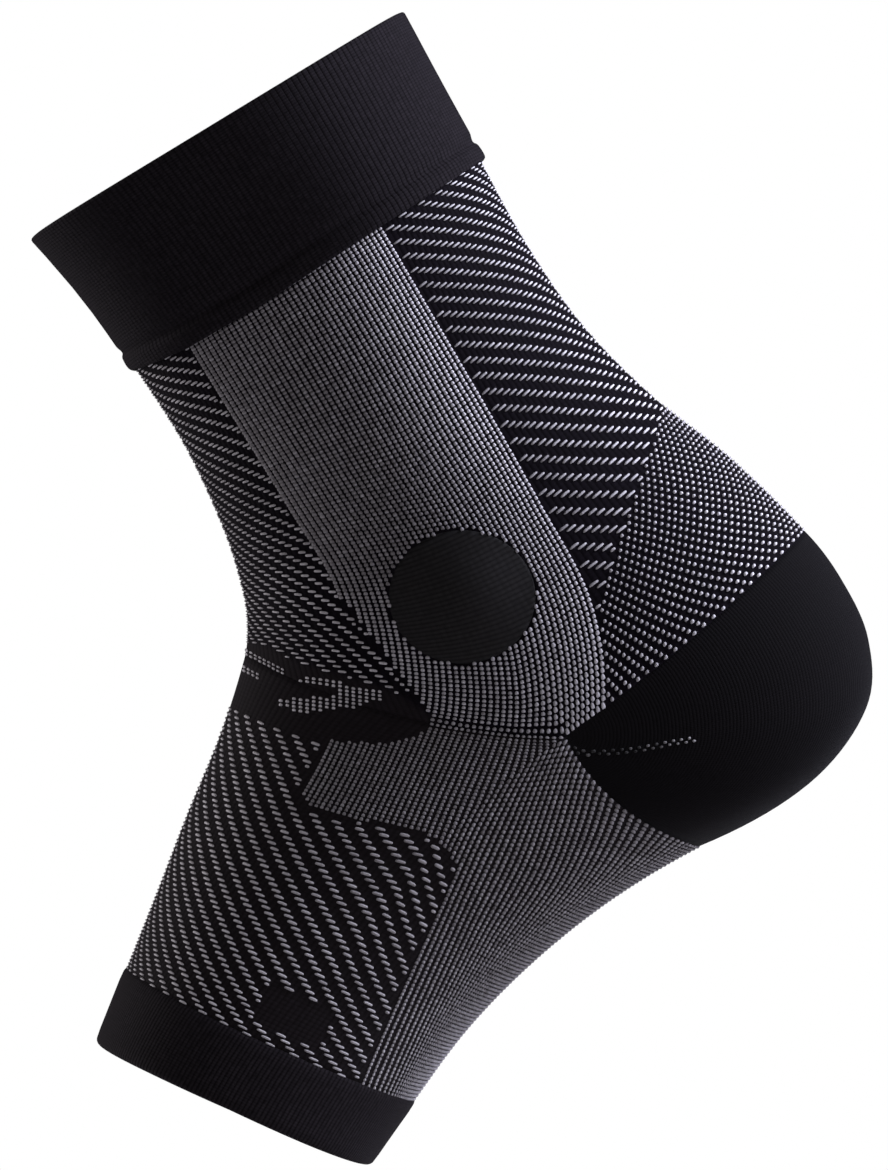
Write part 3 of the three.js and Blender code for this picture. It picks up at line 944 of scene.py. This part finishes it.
def noise(tree, scale, detail):
    place = tree.nodes.new("ShaderNodeTexCoord")
    node = tree.nodes.new("ShaderNodeTexNoise")
    node.inputs["Scale"].default_value = scale
    node.inputs["Detail"].default_value = detail
    tree.links.new(place.outputs["Object"], node.inputs["Vector"])
    return node.outputs["Fac"]


def tone_of(tree):
    node = tree.nodes.new("ShaderNodeAttribute")
    node.attribute_name = "tone"
    return node.outputs["Fac"]


def add_bump(tree, shader, height, strength, depth):
    bump = tree.nodes.new("ShaderNodeBump")
    bump.inputs["Strength"].default_value = strength
    bump.inputs["Distance"].default_value = depth
    tree.links.new(height, bump.inputs["Height"])
    tree.links.new(bump.outputs[0], shader.inputs["Normal"])


def knit_material(name, dark, light, bump, gloss, sheen, roughness=0.85, rib_share=0.7, flex_painted_light_gain=None):
    """Fine black knit: ribs and courses in its bump, an uneven black with painted shade in its grooves,
    painted lighter in the flex panel given a gain.
    """
    material, tree, shader = new_material(name)
    shader.inputs["Specular IOR Level"].default_value = gloss
    shader.inputs["Sheen Weight"].default_value = sheen
    shader.inputs["Sheen Roughness"].default_value = KNIT_SHEEN_ROUGHNESS
    shader.inputs["Sheen Tint"].default_value = KNIT_SHEEN_TINT

    place = tree.nodes.new("ShaderNodeUVMap")
    place.uv_map = "Knit"
    split = tree.nodes.new("ShaderNodeSeparateXYZ")
    tree.links.new(place.outputs["UV"], split.inputs[0])

    def wave(socket):
        sine = math_node(tree, "SINE", math_node(tree, "MULTIPLY", socket, math.pi))
        return math_node(tree, "ABSOLUTE", sine)

    rib_height = math_node(tree, "MULTIPLY", wave(split.outputs[0]), rib_share)
    height = math_node(tree, "MULTIPLY_ADD", wave(split.outputs[1]), 1 - rib_share, rib_height)
    add_bump(tree, shader, height, bump, KNIT_RELIEF)

    fleck = noise(tree, FLECK_SCALE, FLECK_DETAIL)
    # Painted shade: the black darkens where the relief is low, in the grooves between ribs and courses; the
    # fleck noise is the knit's own uneven black.
    black = colour_mix(tree, math_node(tree, "MULTIPLY", fleck, height), dark, light)
    # Painted light: given a gain, the black is multiplied by it within the flex panel, as lighter as the
    # foot's painted-lighter black.
    if flex_painted_light_gain:
        lit = tree.nodes.new("ShaderNodeVectorMath")
        lit.operation = "MULTIPLY"
        tree.links.new(black, lit.inputs[0])
        tree.links.new(colour_mix(tree, tone_of(tree), (1, 1, 1), flex_painted_light_gain), lit.inputs[1])
        black = lit.outputs[0]
    tree.links.new(black, shader.inputs["Base Color"])
    rough = tree.nodes.new("ShaderNodeMapRange")
    rough.inputs["To Min"].default_value = roughness - ROUGHNESS_SPREAD
    rough.inputs["To Max"].default_value = roughness + ROUGHNESS_SPREAD
    tree.links.new(fleck, rough.inputs["Value"])
    tree.links.new(rough.outputs["Result"], shader.inputs["Roughness"])
    return material


def yarn_material(name, dark, light, sheen):
    """Spun yarn: each stitch has its own tone, with fine fibre flecks."""
    material, tree, shader = new_material(name)
    shader.inputs["Roughness"].default_value = YARN_ROUGHNESS
    shader.inputs["Specular IOR Level"].default_value = YARN_GLOSS
    shader.inputs["Sheen Weight"].default_value = sheen
    shader.inputs["Sheen Roughness"].default_value = YARN_SHEEN_ROUGHNESS
    fibre = noise(tree, FIBRE_SCALE, FIBRE_DETAIL)
    lowered = math_node(tree, "SUBTRACT", tone_of(tree), FIBRE_SHARE / 2)
    blend = math_node(tree, "MULTIPLY_ADD", fibre, FIBRE_SHARE, lowered)
    tree.links.new(colour_mix(tree, blend, dark, light), shader.inputs["Base Color"])
    add_bump(tree, shader, fibre, FIBRE_BUMP, FIBRE_RELIEF)
    return material


# Painted light: the flex gain lightens the leg's black within the flex panel to match the foot's
# painted-lighter black.
GROUND = knit_material(
    "black_ground_knit", dark=(0.0026, 0.0020, 0.0030), light=(0.0070, 0.0054, 0.0084),
    bump=0.3, gloss=0.03, sheen=0.003, flex_painted_light_gain=(2.4, 2.55, 1.9),
)
# Painted light: the same black as the leg's ground, made lighter on the foot to stand in for the fill and
# left light on the instep.
FOOT_GROUND_PAINTED_LIGHTER = knit_material(
    "black_foot_knit", dark=(0.0064, 0.0052, 0.0058), light=(0.0165, 0.0136, 0.0158),
    bump=0.3, gloss=0.04, sheen=0.004,
)
CUFF_KNIT = knit_material(
    "fine_black_knit", dark=(0.0042, 0.0035, 0.0043), light=(0.0228, 0.0196, 0.0235),
    bump=1.0, gloss=0.03, sheen=0.003,
)
BAND_KNIT = knit_material(
    "fine_band_knit", dark=(0.0043, 0.0036, 0.0043), light=(0.0228, 0.0196, 0.0230),
    bump=0.45, gloss=0.03, sheen=0.003, rib_share=0.85,
)
PATCH_KNIT = knit_material(
    "plain_black_knit", dark=(0.0045, 0.0042, 0.0044), light=(0.021, 0.0198, 0.0203),
    bump=0.3, gloss=0.10, sheen=0.014, roughness=0.8, rib_share=0.2,
)
HEEL_KNIT = knit_material(
    "ribbed_heel_knit", dark=(0.0019, 0.0016, 0.0019), light=(0.0056, 0.0048, 0.0056),
    bump=0.22, gloss=0.05, sheen=0.010,
)
GREY = yarn_material("heather_grey_yarn", (0.128, 0.119, 0.126), (0.56, 0.545, 0.585), 0.06)
LIGHT = yarn_material("light_grey_yarn", (0.215, 0.202, 0.213), (0.70, 0.683, 0.722), 0.06)
DARK = yarn_material("dark_grey_yarn", (0.006, 0.0057, 0.006), (0.34, 0.33, 0.34), 0.03)


# Sleeve

def flex_painted_light_mask(points):
    """One within the black flex panel, where the leg's black is painted lighter to stand in for light, and
    nought elsewhere.
    """
    right, up = in_picture(points)
    return rise(edge(FLEX_TOP, right) - up, *FLEX_TONE_TOP) * rise(-right, *FLEX_TONE_BACK)


def all_round(wales):
    """Two columns of a shell to every wale."""
    return np.arange(wales * 2) * 4 / (wales * 2)


def build_leg_and_patches():
    leg = knit_wall(
        "leg_knit", LEG, all_round(LEG_WALES), LEG_ROWS, True, CUFF_LAP, LEG_WALES, LEG_STITCH_COURSES,
        GROUND, "leg_tube",
    )
    coordinates = np.empty(len(leg.data.vertices) * 3)
    leg.data.vertices.foreach_get("co", coordinates)
    # The leg's tone marks the flex panel, where its black is painted lighter to stand in for light.
    set_tone(leg, flex_painted_light_mask(coordinates.reshape(-1, 3) / MM))
    patches = []
    for side in ("lateral", "medial"):
        name = f"ankle_patch_{side}"
        patch = new_piece(f"{name}_knit", np.zeros((0, 3)), [], PATCH_KNIT, name)
        patch.data = leg.data.copy()
        patch.data.materials[0] = PATCH_KNIT
        cut(patch, "INTERSECT", side, PATCH_GAP)
        patches.append(patch)
    cut(leg, "DIFFERENCE", "", 0)
    return leg, patches


def build_foot():
    return knit_wall(
        "foot_knit", FOOT, all_round(FOOT_WALES), FOOT_ROWS, True, 0.0, FOOT_WALES, FOOT_STITCH_COURSES,
        FOOT_GROUND_PAINTED_LIGHTER, "foot_tube",
    )


def build_heel():
    turns = np.linspace(1 + HEEL_TIP_START, 3 - HEEL_TIP_START, HEEL_COLUMNS)
    return knit_wall(
        "heel_knit", HEEL, turns, HEEL_ROWS, False, 0.0, HEEL_WALES, HEEL_STITCH_COURSES,
        HEEL_KNIT, "heel_pocket",
    )


def build_cuff():
    proud, top = CUFF_PROUD, CUFF_HEIGHT
    profile = [
        (-SEAM_LAP, proud), (-0.3, proud + 0.8 * HEM_BEAD), (0.5, proud + HEM_BEAD),
        (1.6, proud + 0.85 * HEM_BEAD), (2.6, proud + 0.5 * HEM_BEAD), (3.2, proud - HEM_GROOVE),
        (3.9, proud - HEM_GROOVE), (5.0, proud), (6.5, proud), (0.5 * top, proud), (top - 0.8, proud),
        (top - 0.1, 0.8 * proud), (top, -0.1), (top - 0.2, -0.75 * WALL), (top - 1.3, -WALL),
        (0.5 * top, -WALL), (-SEAM_LAP, -WALL),
    ]
    return welt(
        "cuff_knit", LEG, 0.0, -1, profile, CUFF_RIBS, CUFF_RIB_DEPTH, HEM_DROP, CUFF_KNIT, "top_cuff"
    )


def build_band():
    proud, end = BAND_PROUD, BAND_LENGTH
    profile = [
        (-SEAM_LAP, 0.1), (0.8, proud), (0.5 * end, proud), (end - 1.1, proud), (end - 0.3, 0.4 * proud),
        (end, -0.4), (end - 0.3, -0.75 * WALL), (end - 1.1, -WALL), (0.5 * end, -WALL), (-SEAM_LAP, -WALL),
    ]
    return welt(
        "band_knit", FOOT, 1.0, 1, profile, BAND_RIBS, BAND_RIB_DEPTH, NO_DROP, BAND_KNIT, "toe_band"
    )


# Stitch shapes: length and width in shares of a stitch's own cell, height and lift in millimetres
SEAM_DOT = dict(length=0.70, width=0.95, height=0.30, lift=0.14, vee=0.2, waist=0)
DOT = dict(length=0.88, width=0.60, height=0.30, lift=0.22, vee=0.20, waist=0)
GORE = dict(length=0.90, width=0.60, height=0.14, lift=0.05, vee=0.0, waist=0)
DART = dict(length=0.62, width=0.74, height=0.22, lift=0.10, vee=0.30, waist=0)
SHIN = dict(length=0.70, width=0.60, height=0.16, lift=0.06, vee=0.10, waist=0)
REAR_FLOAT = dict(length=0.88, width=0.54, height=0.27, lift=0.19, vee=0.10, waist=0.10)
FRONT_FLOAT = dict(length=0.82, width=0.66, height=0.24, lift=0.10, vee=0.10, waist=0.10)
INSTEP_FLOAT = dict(length=0.84, width=0.62, height=0.25, lift=0.10, vee=0.10, waist=0.10)


def strap_shape(share, down):
    """The strap's stitches are full at its upper front, and open toward its back and the ankle."""
    opened = np.clip(share + 0.9 * rise(down, 0.45, 0.85), 0, 1)
    length, width = 0.92 - 0.20 * opened, 1.14 - 0.32 * opened
    return dict(length=length, width=width, height=0.24, lift=0.08, vee=0.35, waist=0)


def rib_shape(toward_toes):
    """The ribs open a little toward the toes."""
    length = 0.68 - 0.28 * toward_toes
    return dict(length=length, width=0.90, height=0.24, lift=0.08, vee=0.5, waist=0)


def strap_painted_light_tone(share, down):
    """The strap's tone is painted light, lightest at its back edge where the right softbox falls; it also
    lightens below the ankle patch.
    """
    back = share ** 4 * (1 + 0.25 * rise(down, 0, 0.35) - 0.55 * rise(down, 0.5, 0.8))
    return 0.05 + back + 0.50 * rise(down, 0.65, 0.9) * (1.1 - share)


def rib_tone(toward_toes):
    return 0.17 + 0.27 * toward_toes


def gore_tone(share):
    return 0.03 + 0.75 * share ** 3


def rear_painted_light_tone(frames):
    """Painted light on the rear panels' yarn: lightest at the back edge, toward the right softbox, and at
    the top, darker below where less light falls.
    """
    right, up = in_picture(frames[0])
    return edge(REAR_PAINTED_LIGHT, right + REAR_PAINTED_LIGHT_RISE * up)


def front_painted_light_tone(frames):
    # Painted light and shade: the front floats' tone runs by their height in the picture.
    return edge(FRONT_PAINTED_LIGHT, in_picture(frames[0])[1])


def instep_painted_light_tone(frames):
    # Painted light: the instep floats' tone runs by their place right in the picture, lightest at the front
    # edge.
    return edge(INSTEP_PAINTED_LIGHT, in_picture(frames[0])[0])


def halves(grid, wales):
    return ("lateral", grid.wale < wales / 2), ("medial", grid.wale >= wales / 2)


def build_strap():
    grid, strap = strap_zone()
    share = (grid.middle - STRAP_FRONT) / (STRAP_BACK - STRAP_FRONT)
    above_seam = (grid.course < LEG_STITCH_COURSES - 2) | (grid.middle > LEG_TIP_WALE)
    pieces = []
    for side, half in halves(grid, LEG_WALES):
        mask = strap & half & above_seam
        down = grid.course[mask] / LEG_STITCH_COURSES
        shape, tone = strap_shape(share[mask], down), strap_painted_light_tone(share[mask], down)
        frames = stitch_frames(LEG, leg_place, grid.wale[mask] + 0.5, grid.course[mask] + 0.5)
        pieces.append(yarn_loops(f"strap_stitches_{side}", frames, shape, tone, GREY))
    seam = strap & (grid.course == LEG_STITCH_COURSES - 1) & (grid.middle < LEG_TIP_WALE)
    frames = stitch_frames(LEG, leg_place, grid.wale[seam] + 0.5, grid.course[seam] - SEAM_ROW)
    return pieces + [yarn_loops("leg_seam_stitches", frames, SEAM_DOT, SEAM_TONE, GREY)]


def build_leg_panels():
    front = level(float_frames(LEG, front_place, front_zone(), FRONT_GRID), FRONT_STEEPEST)
    rear = float_frames(LEG, rear_place, rear_zone(), LEG_GRID)
    dots = dot_frames()
    return [
        yarn_loops("front_floats", front, FRONT_FLOAT, front_painted_light_tone(front), LIGHT),
        yarn_loops("rear_floats", rear, REAR_FLOAT, rear_painted_light_tone(rear), LIGHT),
        yarn_loops("achilles_dots", dots, DOT, rear_painted_light_tone(dots), LIGHT),
        yarn_loops("flex_darts", dart_frames(), DART, DART_TONE, LIGHT),
        yarn_loops("shin_lines", shin_line_frames(), SHIN, SHIN_TONE, LIGHT),
    ]


def build_ribs():
    grid, rib = rib_zone()
    below_seam = (grid.course > 0) | (grid.middle > FOOT_TIP_WALE)
    pieces = []
    for side, half in halves(grid, FOOT_WALES):
        mask = rib & half & below_seam
        toward_toes = rise(grid.course[mask] / FOOT_STITCH_COURSES, 0.5, 1)
        shape, tone = rib_shape(toward_toes), rib_tone(toward_toes)
        frames = stitch_frames(FOOT, foot_place, grid.wale[mask] + 0.5, grid.course[mask] + 0.5)
        pieces.append(yarn_loops(f"rib_stitches_{side}", frames, shape, tone, GREY))
    seam = rib & (grid.course == 0) & (grid.middle < FOOT_TIP_WALE)
    frames = stitch_frames(FOOT, foot_place, grid.wale[seam] + 0.5, grid.course[seam] + SEAM_ROW)
    return pieces + [yarn_loops("foot_seam_stitches", frames, SEAM_DOT, SEAM_TONE, GREY)]


def build_instep():
    floats = level(float_frames(FOOT, instep_place, instep_zone(), INSTEP_GRID), INSTEP_STEEPEST)
    return [yarn_loops("instep_floats", floats, INSTEP_FLOAT, instep_painted_light_tone(floats), LIGHT)]


def build_gore():
    frames, share = gore_frames()
    return [yarn_loops("heel_gore_stitches", frames, GORE, gore_tone(share), DARK)]


# The foot stretches the knit about 1.07 times each way.


# Studio, in metres: lights are placed right, up and forward of the sleeve's middle as the camera sees it

SENSOR = 36
FAR_CLIP = 50
SLEEVE_MIDDLE = (-0.02, 0, 0.01)
LIGHTS = [
    ("right_softbox", (1.15, 0.7, 0.02), (0.5, 1.5), 50, (0.95, 0.97, 1.16)),
    ("left_softbox", (-1.15, 0.1, 0.5), (0.5, 1.5), 16, (1.02, 0.97, 1.0)),
    ("front_fill", (0, 0.4, -1.7), (1.2, 1.2), 6.0, (1.04, 0.98, 1.0)),
]
AMBIENT, BACKDROP = 0.06, 1.0
FLOOR_HEIGHT, FLOOR_REACH = -0.25, 0.8
FLOOR_COLOUR, FLOOR_ROUGHNESS = (0.86, 0.86, 0.86, 1), 0.9


def build_camera():
    data = bpy.data.cameras.new("camera")
    data.sensor_width = SENSOR
    data.lens = SENSOR * VIEW_DISTANCE / PICTURE_HEIGHT
    data.clip_end = FAR_CLIP
    camera = bpy.data.objects.new("camera", data)
    bpy.context.collection.objects.link(camera)
    forward = Vector((0, 1, 0))
    up = Vector((math.sin(VIEW_ROLL), 0, math.cos(VIEW_ROLL)))
    right = forward.cross(up)
    target = Vector((VIEW_CENTRE[0], 0, VIEW_CENTRE[1])) * MM
    place = target - forward * VIEW_DISTANCE * MM
    turn = Matrix((right, up, -forward)).transposed().to_quaternion()
    camera.matrix_world = Matrix.LocRotScale(place, turn, None)
    bpy.context.scene.camera = camera
    return right, up, forward


def area_light(name, place, target, size, power, colour):
    data = bpy.data.lights.new(name, "AREA")
    data.shape = "RECTANGLE"
    data.size, data.size_y = size
    data.energy = power
    data.color = colour
    light = bpy.data.objects.new(name, data)
    light.location = place
    light.rotation_euler = (target - place).to_track_quat("-Z", "Y").to_euler()
    bpy.context.collection.objects.link(light)


def build_world():
    """A white backdrop that lights the sleeve only faintly."""
    world = bpy.data.worlds.new("studio")
    bpy.context.scene.world = world
    world.use_nodes = True
    nodes, links = world.node_tree.nodes, world.node_tree.links
    background = nodes["Background"]
    background.inputs["Color"].default_value = (1, 1, 1, 1)
    path = nodes.new("ShaderNodeLightPath")
    strength = nodes.new("ShaderNodeMapRange")
    strength.inputs["To Min"].default_value = AMBIENT
    strength.inputs["To Max"].default_value = BACKDROP
    links.new(path.outputs["Is Camera Ray"], strength.inputs["Value"])
    links.new(strength.outputs["Result"], background.inputs["Strength"])


def build_floor():
    mesh = bpy.data.meshes.new("floor")
    corners = [(-1, -1), (1, -1), (1, 1), (-1, 1)]
    points = [(x * FLOOR_REACH, y * FLOOR_REACH, FLOOR_HEIGHT) for x, y in corners]
    mesh.from_pydata(points, [], [(0, 1, 2, 3)])
    floor = bpy.data.objects.new("floor", mesh)
    bpy.context.collection.objects.link(floor)
    material, _, shader = new_material("pale_floor")
    shader.inputs["Base Color"].default_value = FLOOR_COLOUR
    shader.inputs["Roughness"].default_value = FLOOR_ROUGHNESS
    mesh.materials.append(material)


def build_studio():
    axes = build_camera()
    middle = Vector(SLEEVE_MIDDLE)
    for name, reach, size, power, colour in LIGHTS:
        place = middle + sum((axis * step for axis, step in zip(axes, reach)), Vector())
        area_light(name, place, middle, size, power, colour)
    build_world()
    build_floor()
    bpy.context.scene.view_settings.view_transform = "Standard"


build_studio()
leg, patches = build_leg_and_patches()
foot = build_foot()
heel = build_heel()
cuff = build_cuff()
band = build_band()
leg_stitches = build_strap() + build_leg_panels()
foot_stitches = build_ribs() + build_instep()
heel_stitches = build_gore()
